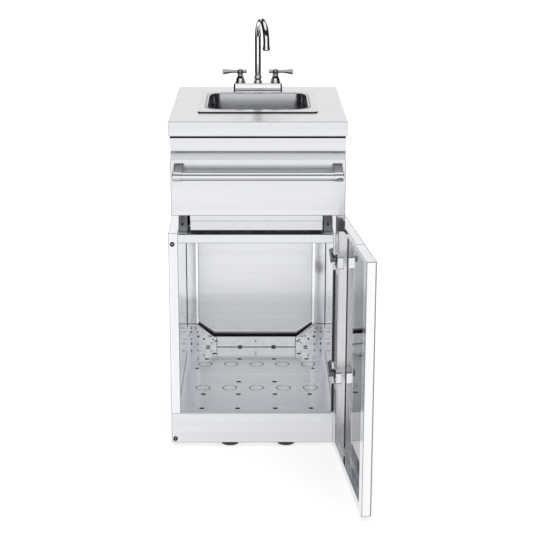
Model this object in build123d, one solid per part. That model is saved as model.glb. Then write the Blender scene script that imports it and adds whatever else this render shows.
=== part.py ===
"""Freestanding handwash sink: worktop with drop-in bowl and faucet, drawer, cabinet with one door.

Working coordinates: X = 0 on the worktop's centre line, Y = 0 at the worktop's front edge, Z = 0 on the
floor, +Y to the back. export_all() moves everything so that the origin is the bottom centre of the unit's
box with the door open as it stands at rest.
"""

from build123d import *
import os
from math import cos, radians, sin

# ---------------------------------------------------------------- driving dimensions (mm)
SHEET = 1.5                       # folded stainless sheet
COUNTER_H = 907.0                 # floor to worktop
TOP_W = 460.0
TOP_D = 578.0
SKIRT = 37.5                      # worktop edge height

CAB_X = -6.0                      # the cabinet and housing stand this far off the worktop's centre
CAB_HALF = 230.0
CAB_FRONT = 25.0
CAB_BACK = 576.5
KICK_BOTTOM = 13.0
KICK_TOP = 99.0
FLOOR_TOP = 103.0
STILE_TOP = 606.0
STILE_W = 25.0
RAIL_BOTTOM = 579.0
RAIL_TOP = 602.5
LINER_HALF = 211.0                # inner faces of the side liners
BACK_PANEL_Y = 556.0

HOUSE_HALF = 204.0                # sink housing under the worktop
HOUSE_BOTTOM = 613.0
HOUSE_BACK = 575.0
APRON_TOP = 668.0
APRON_STEP = 634.0
APRON_BOTTOM = 610.0
APRON_Y = 42.0

SINK_Y = 305.5
SINK_W = 320.0
SINK_L = 351.0
RIM_H = 3.0
BOWL_Y = 311.0
BOWL_W = 272.0
BOWL_L = 262.0
BOWL_DEPTH = 150.0
BOWL_WALL = 1.2
BOWL_CORNER = 40.0
BOWL_FOOT_R = 27.0
DRAIN_HOLE_R = 22.0
PIPE_HOLE_R = 30.0
HOSE_HOLE = (0.0, 520.0, 26.0)     # x, y and radius
TAIL_R = 19.05
TAIL_END = 560.0

FAUCET_Y = 525.0
HANDLE_X = 50.8                   # half of the 4 in handle spacing
SHANK_R = 10.3
SHANK_BOTTOM = 852.0
PLATE_TOP = COUNTER_H + 21.0
SPOUT_R = 8.8
SPOUT_BORE_R = 7.6
ARCH_R = 57.0
ARCH_Z = COUNTER_H + 147.0
SPOUT_TURN = 12.1                 # the spout rests turned this far to the right
RUNNING = 0.06                    # radial running clearance
SLIM = 0.3                        # how much slimmer a pipe or shank is inside its nut
STEM_R = 4.0

FRONT_HALF = 226.0                # drawer front
FRONT_X = 1.0
FRONT_BOTTOM = 662.0
FRONT_TOP = 864.0
FRONT_Y = -6.0
FRONT_BACK = 16.0
LIP_BOTTOM = 834.0
GROOVE_BOTTOM = 809.0
LIP_Y = 3.0
GROOVE_Y = 12.0
BAR_Z = 775.0
BAR_Y = -47.0
BAR_R = 11.5
CAP_R = 13.0
BAR_HALF = 194.0
CAP_HALF = 219.0
BOX_BACK = 262.0
BOX_BOTTOM = 672.0
BOX_TOP = 738.0
SLIDE_Z = 705.0
SLIDE_T = 13.0
SLIDE_FRONT = 24.0
SLIDE_END = 262.0

DOOR_LEFT = -234.0
DOOR_RIGHT = 222.0
DOOR_BOTTOM = 13.0
DOOR_TOP = 658.0
DOOR_OUT = -3.0
DOOR_IN = 21.0
DOOR_OPEN = 96.0                  # the door's angle at rest
PIVOT = (214.15, 12.12)           # the hinge axis
HINGE_Z = (216.0, 537.0)
SIDE_FLANGE = 40.0
CUP_X0, CUP_X1 = 181.0, 219.0
CUP_DEPTH = 13.5
CUP_HALF = 16.0
PIN_R = 1.5

FOOT_R = 25.0
FOOT_X = 77.0
REAR_FOOT_X = 185.0
FOOT_YS = (54.0, 520.0)

parts = {}


# ---------------------------------------------------------------- helpers
def block(x0, x1, y0, y1, z0, z1):
    """A box given by its lowest and highest corners."""
    return Pos((x0 + x1) / 2, (y0 + y1) / 2, (z0 + z1) / 2) * Box(x1 - x0, y1 - y0, z1 - z0)


def rod(x, y, z0, z1, r):
    """A vertical cylinder."""
    return Pos(x, y, (z0 + z1) / 2) * Cylinder(r, z1 - z0)


def rod_x(x0, x1, y, z, r):
    return Pos((x0 + x1) / 2, y, z) * Rot(0, 90, 0) * Cylinder(r, x1 - x0)


def rod_y(x, y0, y1, z, r):
    return Pos(x, (y0 + y1) / 2, z) * Rot(90, 0, 0) * Cylinder(r, y1 - y0)


def prism_x(points, x0, x1):
    """Extrude a closed (y, z) outline from x0 to x1."""
    face = make_face(Polyline(*[(x0, y, z) for y, z in points], close=True))
    return extrude(face, amount=x1 - x0, dir=(1, 0, 0))


def prism_y(points, y0, y1):
    """Extrude a closed (x, z) outline from y0 to y1."""
    face = make_face(Polyline(*[(x, y0, z) for x, z in points], close=True))
    return extrude(face, amount=y1 - y0, dir=(0, 1, 0))


def turned(points, x, y):
    """Revolve a closed (radius, z) outline about a vertical axis."""
    face = make_face(Polyline(*[(r, 0, z) for r, z in points], close=True))
    return Pos(x, y, 0) * revolve(face, Axis.Z, 360)


def hexagon(x, y, z0, z1, across, bore):
    nut = extrude(Pos(x, y, z0) * RegularPolygon(across / 2, 6, major_radius=False), amount=z1 - z0)
    return nut - rod(x, y, z0 - 1, z1 + 1, bore)


def group(shapes):
    """Several separate solids that share one node."""
    return Compound([s for shape in shapes for s in shape.solids()])


def add(name, shape):
    parts[name] = shape


# ---------------------------------------------------------------- worktop and sink
def worktop():
    half = TOP_W / 2
    slab = block(-half, half, 0, TOP_D, COUNTER_H - SKIRT, COUNTER_H)
    slab = fillet(slab.edges().group_by(Axis.Z)[-1], 1.4)
    inner = block(-half + SHEET, half - SHEET, SHEET, TOP_D - SHEET, COUNTER_H - SKIRT - 1, COUNTER_H - SHEET)
    cut = Pos(0, SINK_Y, COUNTER_H - 5) * extrude(RectangleRounded(SINK_W - 30, SINK_L - 30, 62), amount=10)
    top = slab - inner - cut
    for x in (-HANDLE_X, HANDLE_X):
        top -= rod(x, FAUCET_Y, COUNTER_H - 5, COUNTER_H + 5, 12)
    add("worktop", top)


def bowl_solid(grow, bottom, corner):
    """A tapered tub, rounded at its foot."""
    top = COUNTER_H + RIM_H
    plan = Pos(0, BOWL_Y, top) * RectangleRounded(BOWL_W + 2 * grow, BOWL_L + 2 * grow, BOWL_CORNER + grow)
    tub = extrude(plan, amount=top - bottom, dir=(0, 0, -1), taper=4)
    return fillet(tub.edges().group_by(Axis.Z)[0], corner)


def sink_bowl():
    top = COUNTER_H + RIM_H
    outer_plan = Pos(0, SINK_Y, COUNTER_H) * RectangleRounded(SINK_W, SINK_L, 14)
    rim = extrude(outer_plan, amount=RIM_H)
    rim = fillet(rim.edges().group_by(Axis.Z)[-1], 2.2)
    hollow_plan = Pos(0, SINK_Y, COUNTER_H) * RectangleRounded(SINK_W - 5, SINK_L - 5, 12)
    rim -= extrude(hollow_plan, amount=RIM_H - BOWL_WALL)
    bottom = top - BOWL_DEPTH
    shell = rim + bowl_solid(BOWL_WALL, bottom - BOWL_WALL, BOWL_FOOT_R + 1)
    shell -= bowl_solid(0, bottom, BOWL_FOOT_R)
    mouth = [e for e in shell.edges().group_by(Axis.Z)[-1]
             if abs(e.center().X) < BOWL_W / 2 + 1 and abs(e.center().Y - BOWL_Y) < BOWL_L / 2 + 1]
    shell = fillet(mouth, 1.0)
    shell -= rod(0, BOWL_Y, bottom - 5, bottom + 5, DRAIN_HOLE_R)
    add("sink_bowl", shell)
    return bottom


def drain(bottom):
    """bottom: height of the bowl's inner floor."""
    under = bottom - BOWL_WALL
    body_end = 712.0
    flange = [(19, bottom), (28.5, bottom), (28.5, bottom + 0.8), (26.5, bottom + 1.6), (20.5, bottom + 0.4)]
    body = turned(flange, 0, BOWL_Y) + rod(0, BOWL_Y, body_end, bottom, 21.8)
    body -= rod(0, BOWL_Y, body_end + 3, bottom + 5, 19)
    body -= rod(0, BOWL_Y, body_end - 1, body_end + 4, 14)
    add("strainer_body", body)
    add("strainer_gasket", rod(0, BOWL_Y, under - 3, under, 33) - rod(0, BOWL_Y, under - 4, under + 1, 21.8))
    locknut = hexagon(0, BOWL_Y, under - 13, under - 3, 62, 21.8)
    tail_nut = rod(0, BOWL_Y, 696, 724, 27) - rod(0, BOWL_Y, 712, 725, 21.8) - rod(0, BOWL_Y, 695, 713, TAIL_R - SLIM)
    for k in range(10):
        rib = Pos(0, BOWL_Y, 710) * Rot(0, 0, 36 * k) * Pos(27, 0, 0) * Cylinder(2.2, 20)
        tail_nut += rib
    add("drain_nuts", group([locknut, tail_nut]))
    shoulder = 695.0
    tail = rod(0, BOWL_Y, TAIL_END, shoulder, TAIL_R) + rod(0, BOWL_Y, shoulder, body_end, TAIL_R - SLIM)
    tail -= rod(0, BOWL_Y, TAIL_END - 1, body_end + 1, TAIL_R - 1.2)
    add("drain_tailpiece", tail)
    low = bottom - 21
    basket = rod(0, BOWL_Y, low, bottom + 1.3, 17.6) + rod(0, BOWL_Y, bottom + 0.5, bottom + 1.3, 20.3)
    basket -= rod(0, BOWL_Y, low + 1, bottom + 2, 16.6)
    for k in range(8):
        a = radians(45 * k)
        basket -= rod(10 * cos(a), BOWL_Y + 10 * sin(a), low - 1, low + 2, 2.2)
    basket += rod(0, BOWL_Y, low, bottom - 3, 2.0)
    knob = [(0, bottom - 4), (6, bottom - 4), (7.5, bottom - 1.5), (5, bottom + 1), (0, bottom + 1)]
    basket += turned(knob, 0, BOWL_Y)
    add("strainer_basket", basket)


# ---------------------------------------------------------------- faucet
def deck_outline(w, l, z, r):
    return Pos(0, FAUCET_Y, z) * RectangleRounded(w, l, r)


def faucet_base():
    gasket = extrude(deck_outline(138, 48, COUNTER_H, 8), amount=1.5)
    plate = extrude(deck_outline(141, 51, COUNTER_H + 1.5, 8), amount=19.5, taper=3)
    plate = fillet(plate.edges().group_by(Axis.Z)[-1], 4)
    plate -= extrude(deck_outline(133, 43, COUNTER_H + 1.5, 6), amount=15)
    for x in (-HANDLE_X, HANDLE_X):
        hole = rod(x, FAUCET_Y, COUNTER_H - 1, PLATE_TOP + 1, SHANK_R - SLIM)
        gasket -= hole
        plate -= hole
    plate -= rod(0, FAUCET_Y, COUNTER_H, PLATE_TOP + 1, SPOUT_R + RUNNING)
    add("deck_gasket", gasket)
    add("faucet_deck_plate", plate)

    shanks = []
    nuts = []
    bell = [(STEM_R + RUNNING, 0), (14.5, 0), (14.5, 3.5), (12.8, 5), (12.6, 9), (11.0, 14.5), (8.6, 18.5),
            (8.2, 21.5), (9.0, 23), (9.0, 24.6), (STEM_R + RUNNING, 24.6)]
    for side, name in ((-1, "left_handle_bell"), (1, "right_handle_bell")):
        x = side * HANDLE_X
        add(name, turned([(r, PLATE_TOP + z) for r, z in bell], x, FAUCET_Y))
        shoulder = COUNTER_H - SHEET - 17
        shank = rod(x, FAUCET_Y, SHANK_BOTTOM, shoulder, SHANK_R)
        shank += rod(x, FAUCET_Y, shoulder, PLATE_TOP, SHANK_R - SLIM)
        shanks.append(shank - rod(x, FAUCET_Y, SHANK_BOTTOM - 1, 900, 6.5))
        under = COUNTER_H - SHEET
        nut = rod(x, FAUCET_Y, under - 3, under, 19) + rod(x, FAUCET_Y, under - 16, under - 3, 14.5)
        for k in range(4):
            nut += Pos(x, FAUCET_Y, under - 9.5) * Rot(0, 0, 90 * k) * Pos(17, 0, 0) * Box(6, 3, 13)
        nuts.append(nut - rod(x, FAUCET_Y, under - 17, under + 1, SHANK_R - SLIM))
    add("supply_shanks", group(shanks))
    add("shank_nuts", group(nuts))


def lever(side, name):
    """A quarter-turn lever whose blade points outwards, on a hub with a stem in the bell's bore."""
    x = side * HANDLE_X
    z0 = PLATE_TOP + 25.0
    hub = [(0, z0 - 14), (STEM_R, z0 - 14), (STEM_R, z0), (8.6, z0), (9.6, z0 + 2), (9.6, z0 + 9), (8.0, z0 + 12),
           (0, z0 + 13.2)]
    body = turned(hub, x, FAUCET_Y)
    mid = z0 + 6.5
    root = Plane(origin=(x + side * 5, FAUCET_Y, mid), x_dir=(0, 1, 0), z_dir=(side, 0, 0))
    waist = root.offset(20)
    wide = root.offset(36)
    tip = root.offset(46.5)
    blade = loft([root * RectangleRounded(12, 9, 3), waist * RectangleRounded(9.5, 6.2, 2.6)])
    blade += loft([waist * RectangleRounded(9.5, 6.2, 2.6), wide * RectangleRounded(16, 8.5, 2.6)])
    blade += loft([wide * RectangleRounded(16, 8.5, 2.6), tip * RectangleRounded(18, 11.5, 2.6)])
    back = Plane(origin=(x - side * 5, FAUCET_Y, mid + 0.5), x_dir=(0, 1, 0), z_dir=(-side, 0, 0))
    tail = loft([back * RectangleRounded(12, 9, 3), back.offset(14) * RectangleRounded(9, 10, 2.6)])
    add(name, body + blade + tail)


def spout():
    collar = [(SPOUT_R + RUNNING, 0), (12.0, 0), (12.0, 4), (11.2, 5), (11.2, 14), (12.0, 15), (12.0, 17),
              (10.4, 20), (SPOUT_R + RUNNING, 20)]
    add("spout_collar", turned([(r, PLATE_TOP + z) for r, z in collar], 0, FAUCET_Y))

    a = radians(SPOUT_TURN)
    ahead = Vector(sin(a), -cos(a), 0)
    foot = Vector(0, FAUCET_Y, PLATE_TOP - 14)
    shoulder = Vector(0, FAUCET_Y, ARCH_Z)
    crown = shoulder + ahead * ARCH_R + Vector(0, 0, ARCH_R)
    bend_end = shoulder + ahead * (2 * ARCH_R)
    tip = bend_end - Vector(0, 0, 6)
    path = Line(foot, shoulder) + ThreePointArc(shoulder, crown, bend_end) + Line(bend_end, tip)
    tube = sweep(Plane(foot, z_dir=(0, 0, 1)) * Circle(SPOUT_R), path=path)
    tube -= sweep(Plane(foot, z_dir=(0, 0, 1)) * Circle(SPOUT_BORE_R), path=path)
    add("spout", tube)
    nozzle = [(7.2, -14), (8.6, -14), (9.8, -13), (10.6, -11), (10.6, -6.5), (9.8, -6), (9.8, -4.5), (10.3, -4),
              (10.3, -0.5), (9.6, 0), (7.2, 0)]
    add("aerator", turned([(r, tip.Z + z) for r, z in nozzle], tip.X, tip.Y))


# ---------------------------------------------------------------- sink housing
def pipe_holes(plate, z):
    """Holes for the drain and the supply hoses."""
    x, y, r = HOSE_HOLE
    return plate - rod(0, BOWL_Y, z - 1, z + 3, PIPE_HOLE_R) - rod(x, y, z - 1, z + 3, r)


def housing():
    left = CAB_X - HOUSE_HALF
    right = CAB_X + HOUSE_HALF
    under = COUNTER_H - SHEET
    side = [(22, APRON_TOP), (22, under), (HOUSE_BACK, under), (HOUSE_BACK, HOUSE_BOTTOM), (76, HOUSE_BOTTOM),
            (76, APRON_TOP)]
    add("housing_left_panel", prism_x(side, left, left + SHEET))
    add("housing_right_panel", prism_x(side, right - SHEET, right))
    x0 = left + SHEET
    x1 = right - SHEET
    add("housing_rear_panel", block(x0, x1, HOUSE_BACK - SHEET, HOUSE_BACK, HOUSE_BOTTOM, under))
    tray = block(x0, x1, 76, HOUSE_BACK - SHEET, HOUSE_BOTTOM, HOUSE_BOTTOM + SHEET)
    tray += block(x0 + 30, x1 - 26, APRON_Y + SHEET, 76, HOUSE_BOTTOM, HOUSE_BOTTOM + SHEET)
    add("housing_tray", pipe_holes(tray, HOUSE_BOTTOM))
    web = block(-227, 227, 22 - SHEET, 22, 860, under)
    add("housing_front_rail", web + block(x0, x1, 22, 54, 874, 874 + SHEET))
    z0 = APRON_BOTTOM
    y = APRON_Y
    step = [(y, z0), (y, APRON_STEP), (y + 4, APRON_STEP), (y + 4, APRON_TOP), (y + 4 + SHEET, APRON_TOP),
            (y + 4 + SHEET, APRON_STEP - SHEET), (y + SHEET, APRON_STEP - SHEET), (y + SHEET, z0)]
    add("apron", prism_x(step, -178.5, 171.0))

    brackets = []
    for x0, x1 in ((left, -187.0), (175.0, right)):
        t = 2.5
        web = [(30, 604), (45, 604), (76, 652), (76, APRON_TOP), (76 - t, APRON_TOP), (76 - t, 653), (43.5, 606.5),
               (30, 606.5)]
        plate = prism_x(web, x0, x1)
        middle = (x0 + x1) / 2 - 1
        hole = Pos(middle, 58, 624.5) * Rot(33, 0, 0) * Rot(90, 0, 0) * Cylinder(2.6, 14)
        brackets.append(plate - hole)
    add("front_brackets", group(brackets))
    spacers = [block(x, x + 23, 530, 560, RAIL_TOP, HOUSE_BOTTOM) for x in (left, right - 23)]
    add("rear_spacers", group(spacers))


# ---------------------------------------------------------------- cabinet
def cabinet():
    left = CAB_X - CAB_HALF
    right = CAB_X + CAB_HALF
    f = CAB_FRONT
    liner_l = CAB_X - LINER_HALF
    liner_r = CAB_X + LINER_HALF
    for name, outer, s in (("left_side_panel", left, 1), ("right_side_panel", right, -1)):
        def span(a, b):
            return tuple(sorted((outer + s * a, outer + s * b)))
        panel = block(*span(0, SHEET), f + SHEET, CAB_BACK - SHEET, KICK_BOTTOM, STILE_TOP)
        panel += block(*span(0, STILE_W), f, f + SHEET, KICK_TOP, STILE_TOP)
        panel += block(*span(STILE_W - SHEET, STILE_W), f + SHEET, 45, KICK_TOP, STILE_TOP)
        panel += block(*span(SHEET, STILE_W), f + SHEET, CAB_BACK - SHEET, STILE_TOP - SHEET, STILE_TOP)
        add(name, panel)
    liners = [block(liner_l - SHEET, liner_l, 45, CAB_BACK - SHEET, FLOOR_TOP, STILE_TOP - SHEET),
              block(liner_r, liner_r + SHEET, 45, CAB_BACK - SHEET, FLOOR_TOP, STILE_TOP - SHEET)]
    add("side_liners", group(liners))

    x0 = left + STILE_W
    x1 = right - STILE_W
    z0, z1 = RAIL_BOTTOM, RAIL_TOP
    rail = [(f + 1, z0), (f + 1, z1), (50, z1), (50, z1 - SHEET), (f + 1 + SHEET, z1 - SHEET),
            (f + 1 + SHEET, z0 + SHEET), (44, z0 + SHEET), (44, z0)]
    rail = prism_x(rail, x0 + 1, x1 - 1)
    ceiling = block(liner_l, liner_r, 46, CAB_BACK - SHEET, z1 - SHEET, z1)
    add("top_rail", rail + pipe_holes(ceiling, z1 - SHEET))
    z0, z1 = KICK_BOTTOM, KICK_TOP
    kick = [(f, z0), (f, z1), (50, z1), (50, z1 - SHEET), (f + SHEET, z1 - SHEET), (f + SHEET, z0 + SHEET),
            (44, z0 + SHEET), (44, z0)]
    kick = prism_x(kick, left, right) - block(left - 1, x0 - SHEET, f + SHEET, 60, z1 - 5, z1 + 1)
    kick -= block(x1 + SHEET, right + 1, f + SHEET, 60, z1 - 5, z1 + 1)
    kick -= block(left - 1, left + SHEET, f + SHEET, 60, 0, z1)
    kick -= block(right - SHEET, right + 1, f + SHEET, 60, 0, z1)
    add("kick_panel", kick)
    floor_panel(liner_l, liner_r)
    back_panel(liner_l, liner_r)
    add("rear_cover", block(left, right, CAB_BACK - SHEET, CAB_BACK, KICK_BOTTOM, STILE_TOP))

    channels = []
    for y in FOOT_YS:
        u = block(left + SHEET, right - SHEET, y - 20, y + 20, 16, 41)
        u -= block(left, right, y - 18, y + 18, 18, 50)
        xs = (-FOOT_X, FOOT_X) if y == FOOT_YS[0] else (-REAR_FOOT_X, REAR_FOOT_X)
        for x in xs:
            u -= rod(x, y, 10, 20, 5)
        channels.append(Pos(0, 4 if y == FOOT_YS[0] else 0, 0) * u)
    add("base_channels", group(channels))

    feet = []
    locknuts = []
    for y, xs in zip(FOOT_YS, ((-FOOT_X, FOOT_X), (-REAR_FOOT_X, REAR_FOOT_X))):
        for x in xs:
            y_at = y + (4 if y == FOOT_YS[0] else 0)
            pad = [(0, 0), (FOOT_R - 1, 0), (FOOT_R, 1.5), (FOOT_R - 1, 5.5), (14, 8.5), (8, 10), (5, 12), (5, 46),
                   (0, 46)]
            feet.append(turned(pad, x, y_at))
            locknuts.append(hexagon(x, y_at, 18, 25, 17, 5.0))
    add("levelling_feet", group(feet))
    add("foot_locknuts", group(locknuts))
    bumper = [(2, 0), (6.3, 0), (6.3, 2.4), (4.8, 3.7), (2.6, 3.7), (2, 2.8)]
    bumpers = []
    for z in (576.0, 24.0):
        face = make_face(Polyline(*[(r, 0, h) for r, h in bumper], close=True))
        dome = Rot(90, 0, 0) * revolve(face, Axis.Z, 360)
        bumpers.append(Pos(left + 10, f, z) * dome)
    add("door_bumpers", group(bumpers))


def floor_panel(x0, x1):
    y0, y1 = CAB_FRONT + SHEET, BACK_PANEL_Y
    panel = block(x0, x1, 45, y1, FLOOR_TOP - SHEET, FLOOR_TOP)
    panel += block(x0 + 6, x1 - 6, y0, 45, FLOOR_TOP - SHEET, FLOOR_TOP)
    panel += block(x0 + 6, x1 - 6, y0, y0 + SHEET, KICK_TOP, FLOOR_TOP - SHEET)
    centre = -4.0
    for y in (402.0, 207.0):
        for k in range(-2, 3):
            x = centre + 76.5 * k
            ring = rod(x, y, FLOOR_TOP - 3, FLOOR_TOP + 1, 20.8) - rod(x, y, FLOOR_TOP - 4, FLOOR_TOP + 2, 18.6)
            ring -= block(x - 2, x + 2, y - 22, y + 22, FLOOR_TOP - 4, FLOOR_TOP + 2)
            panel -= ring
    slots = [(s * x, y) for y in (50, 156.5, 448, 545) for s in (-1, 1) for x in (51.5, 150)]
    slots += [(s * 51.5, 255) for s in (-1, 1)] + [(s * 128, 497) for s in (-1, 1)]
    for x, y in slots:
        slot = Pos(centre + x, y, FLOOR_TOP - 3) * extrude(SlotOverall(13, 8), amount=6)
        panel -= slot
    for s in (-1, 1):
        slot = Pos(centre - 5 + s * 171, 366, FLOOR_TOP - 3) * extrude(Rot(0, 0, 90) * SlotOverall(13, 8), amount=6)
        panel -= slot
    add("floor_panel", panel)


def cutout_outline(inset, y):
    """The back panel's cut-out, a rectangle with its lower corners cut off."""
    x0, x1 = -188 + inset, 171 - inset
    z0, z1 = 137 + 1.7 * inset, 580 - inset
    cut = 0.42 * inset
    points = [(x0, z1), (x0, 180 + cut), (x0 + 53 - cut, z0), (x1 - 53 + cut, z0), (x1, 180 + cut), (x1, z1)]
    return make_face(Polyline(*[(x, y, z) for x, z in points], close=True))


GUSSET_HOLES = ((12, 165, 2.2), (26, 165, 2.2), (33, 138, 3.4), (71, 138, 2.2), (12, 117.5, 2.2), (73, 117.5, 2.2))
GUSSET_SIDE_HOLES = ((30, 165), (52, 138), (30, 117.5))


def back_panel(x0, x1):
    y = BACK_PANEL_Y
    panel = block(x0, x1, y, y + SHEET, FLOOR_TOP - SHEET, RAIL_TOP - SHEET)
    panel -= extrude(cutout_outline(0, y - 1), amount=4, dir=(0, 1, 0))
    panel -= rod_y(-8, y - 2, y + 4, 123, 3)
    start = y + SHEET
    end = CAB_BACK - SHEET
    flange = loft([cutout_outline(-1.0, start), cutout_outline(7.0, end)])
    flange -= loft([cutout_outline(0.2, start), cutout_outline(8.2, end)])
    add("cutout_flange", flange)

    gussets = []
    t = 1.5
    for edge, s in ((x0, 1), (x1, -1)):
        outline = [(edge, FLOOR_TOP), (edge + s * 89, FLOOR_TOP), (edge + s * 89, 135), (edge + s * 80, 137),
                   (edge + s * 29, 178), (edge, 178)]
        plate = prism_y(outline, y - t, y)
        x_lo, x_hi = sorted((edge, edge + s * t))
        plate += block(x_lo, x_hi, y - 60, y - t, FLOOR_TOP, 178)
        for dx, z, r in GUSSET_HOLES:
            hole = rod_y(edge + s * dx, y - 5, y + 5, z, r)
            plate -= hole
            panel -= hole
        for dy, z in GUSSET_SIDE_HOLES:
            plate -= rod_x(x_lo - 1, x_hi + 1, y - dy, z, 2.2)
        gussets.append(plate)
    add("inner_back_panel", panel)
    add("corner_gussets", group(gussets))


# ---------------------------------------------------------------- drawer
def drawer():
    x0, x1 = FRONT_X - FRONT_HALF, FRONT_X + FRONT_HALF
    outer = [(FRONT_BACK, FRONT_BOTTOM), (FRONT_Y, FRONT_BOTTOM), (FRONT_Y, GROOVE_BOTTOM), (GROOVE_Y - 0.6, 829),
             (GROOVE_Y, LIP_BOTTOM), (LIP_Y, LIP_BOTTOM), (LIP_Y, FRONT_TOP), (FRONT_BACK, FRONT_TOP)]
    t = SHEET
    inner = [(FRONT_BACK + 1, FRONT_BOTTOM + t), (FRONT_Y + t, FRONT_BOTTOM + t), (FRONT_Y + t, GROOVE_BOTTOM - 0.6),
             (GROOVE_Y + 0.8, 828.4), (GROOVE_Y + t, LIP_BOTTOM + t), (LIP_Y + t, LIP_BOTTOM + t),
             (LIP_Y + t, FRONT_TOP - t), (FRONT_BACK + 1, FRONT_TOP - t)]
    front = prism_x(outer, x0, x1) - prism_x(inner, x0 + t, x1 - t)
    add("drawer_front", front)
    add("drawer_backing", block(x0 + t, x1 - t, FRONT_BACK - t, FRONT_BACK, FRONT_BOTTOM + t, FRONT_TOP - t))

    left = CAB_X - HOUSE_HALF + SHEET + SLIDE_T
    right = CAB_X + HOUSE_HALF - SHEET - SLIDE_T
    box = block(left, right, FRONT_BACK, BOX_BACK, BOX_BOTTOM, BOX_TOP)
    box -= block(left + 1.2, right - 1.2, FRONT_BACK + 1.2, BOX_BACK - 1.2, BOX_BOTTOM + 1.2, BOX_TOP + 1)
    add("drawer_box", box)

    outers, middles, inners = [], [], []
    for wall, s in ((left - SLIDE_T, 1), (right + SLIDE_T, -1)):
        def channel(a, b, half, t, y0, y1, web_at):
            """A C-section between a and b from the wall, with its web at the side given by web_at."""
            xs = sorted((wall + s * a, wall + s * b))
            web = sorted((wall + s * web_at, wall + s * (web_at + (t if web_at == a else -t))))
            c = block(*web, y0, y1, SLIDE_Z - half, SLIDE_Z + half)
            c += block(*xs, y0, y1, SLIDE_Z + half - t, SLIDE_Z + half)
            c += block(*xs, y0, y1, SLIDE_Z - half, SLIDE_Z - half + t)
            return c
        outers.append(channel(0, 8.5, 18, 1.2, SLIDE_FRONT, SLIDE_END, 0))
        middles.append(channel(2.2, 9.5, 15.5, 1.2, SLIDE_FRONT, SLIDE_END - 2, 2.2))
        inners.append(channel(4.6, SLIDE_T, 13, 1.2, SLIDE_FRONT, SLIDE_END - 2, SLIDE_T))
    add("slide_outers", group(outers))
    add("slide_middles", group(middles))
    add("slide_inners", group(inners))

    tube = rod_x(FRONT_X - BAR_HALF, FRONT_X + BAR_HALF, BAR_Y, BAR_Z, BAR_R)
    tube -= rod_x(FRONT_X - BAR_HALF - 1, FRONT_X + BAR_HALF + 1, BAR_Y, BAR_Z, BAR_R - 1.5)
    add("handle_bar", tube)
    caps, posts = [], []
    for s in (-1, 1):
        xs = sorted((FRONT_X + s * BAR_HALF, FRONT_X + s * CAP_HALF))
        cap = rod_x(xs[0], xs[1], BAR_Y, BAR_Z, CAP_R)
        caps.append(fillet(cap.edges(), 1.6))
        x = FRONT_X + s * ((BAR_HALF + CAP_HALF) / 2 - 2.5)
        root = Plane(origin=(x, FRONT_Y, BAR_Z + 9), x_dir=(1, 0, 0), z_dir=(0, -1, 0))
        end = Plane(origin=(x, BAR_Y, BAR_Z), x_dir=(1, 0, 0), z_dir=(0, -1, 0))
        post = loft([root * RectangleRounded(26, 32, 3), end * RectangleRounded(26, 22, 3)])
        posts.append(post - rod_x(x - 20, x + 20, BAR_Y, BAR_Z, CAP_R))
    add("handle_end_caps", group(caps))
    add("handle_posts", group(posts))
    screws = []
    for x in (-150, -50, 52, 152):
        screws.append(rod_y(x, FRONT_BACK + 1.2, FRONT_BACK + 3.4, SLIDE_Z, 4.2))
    add("drawer_screws", group(screws))


# ---------------------------------------------------------------- door, drawn closed, then swung open
def swing(shape):
    return Pos(PIVOT[0], PIVOT[1], 0) * Rot(0, 0, DOOR_OPEN) * Pos(-PIVOT[0], -PIVOT[1], 0) * shape


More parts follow.
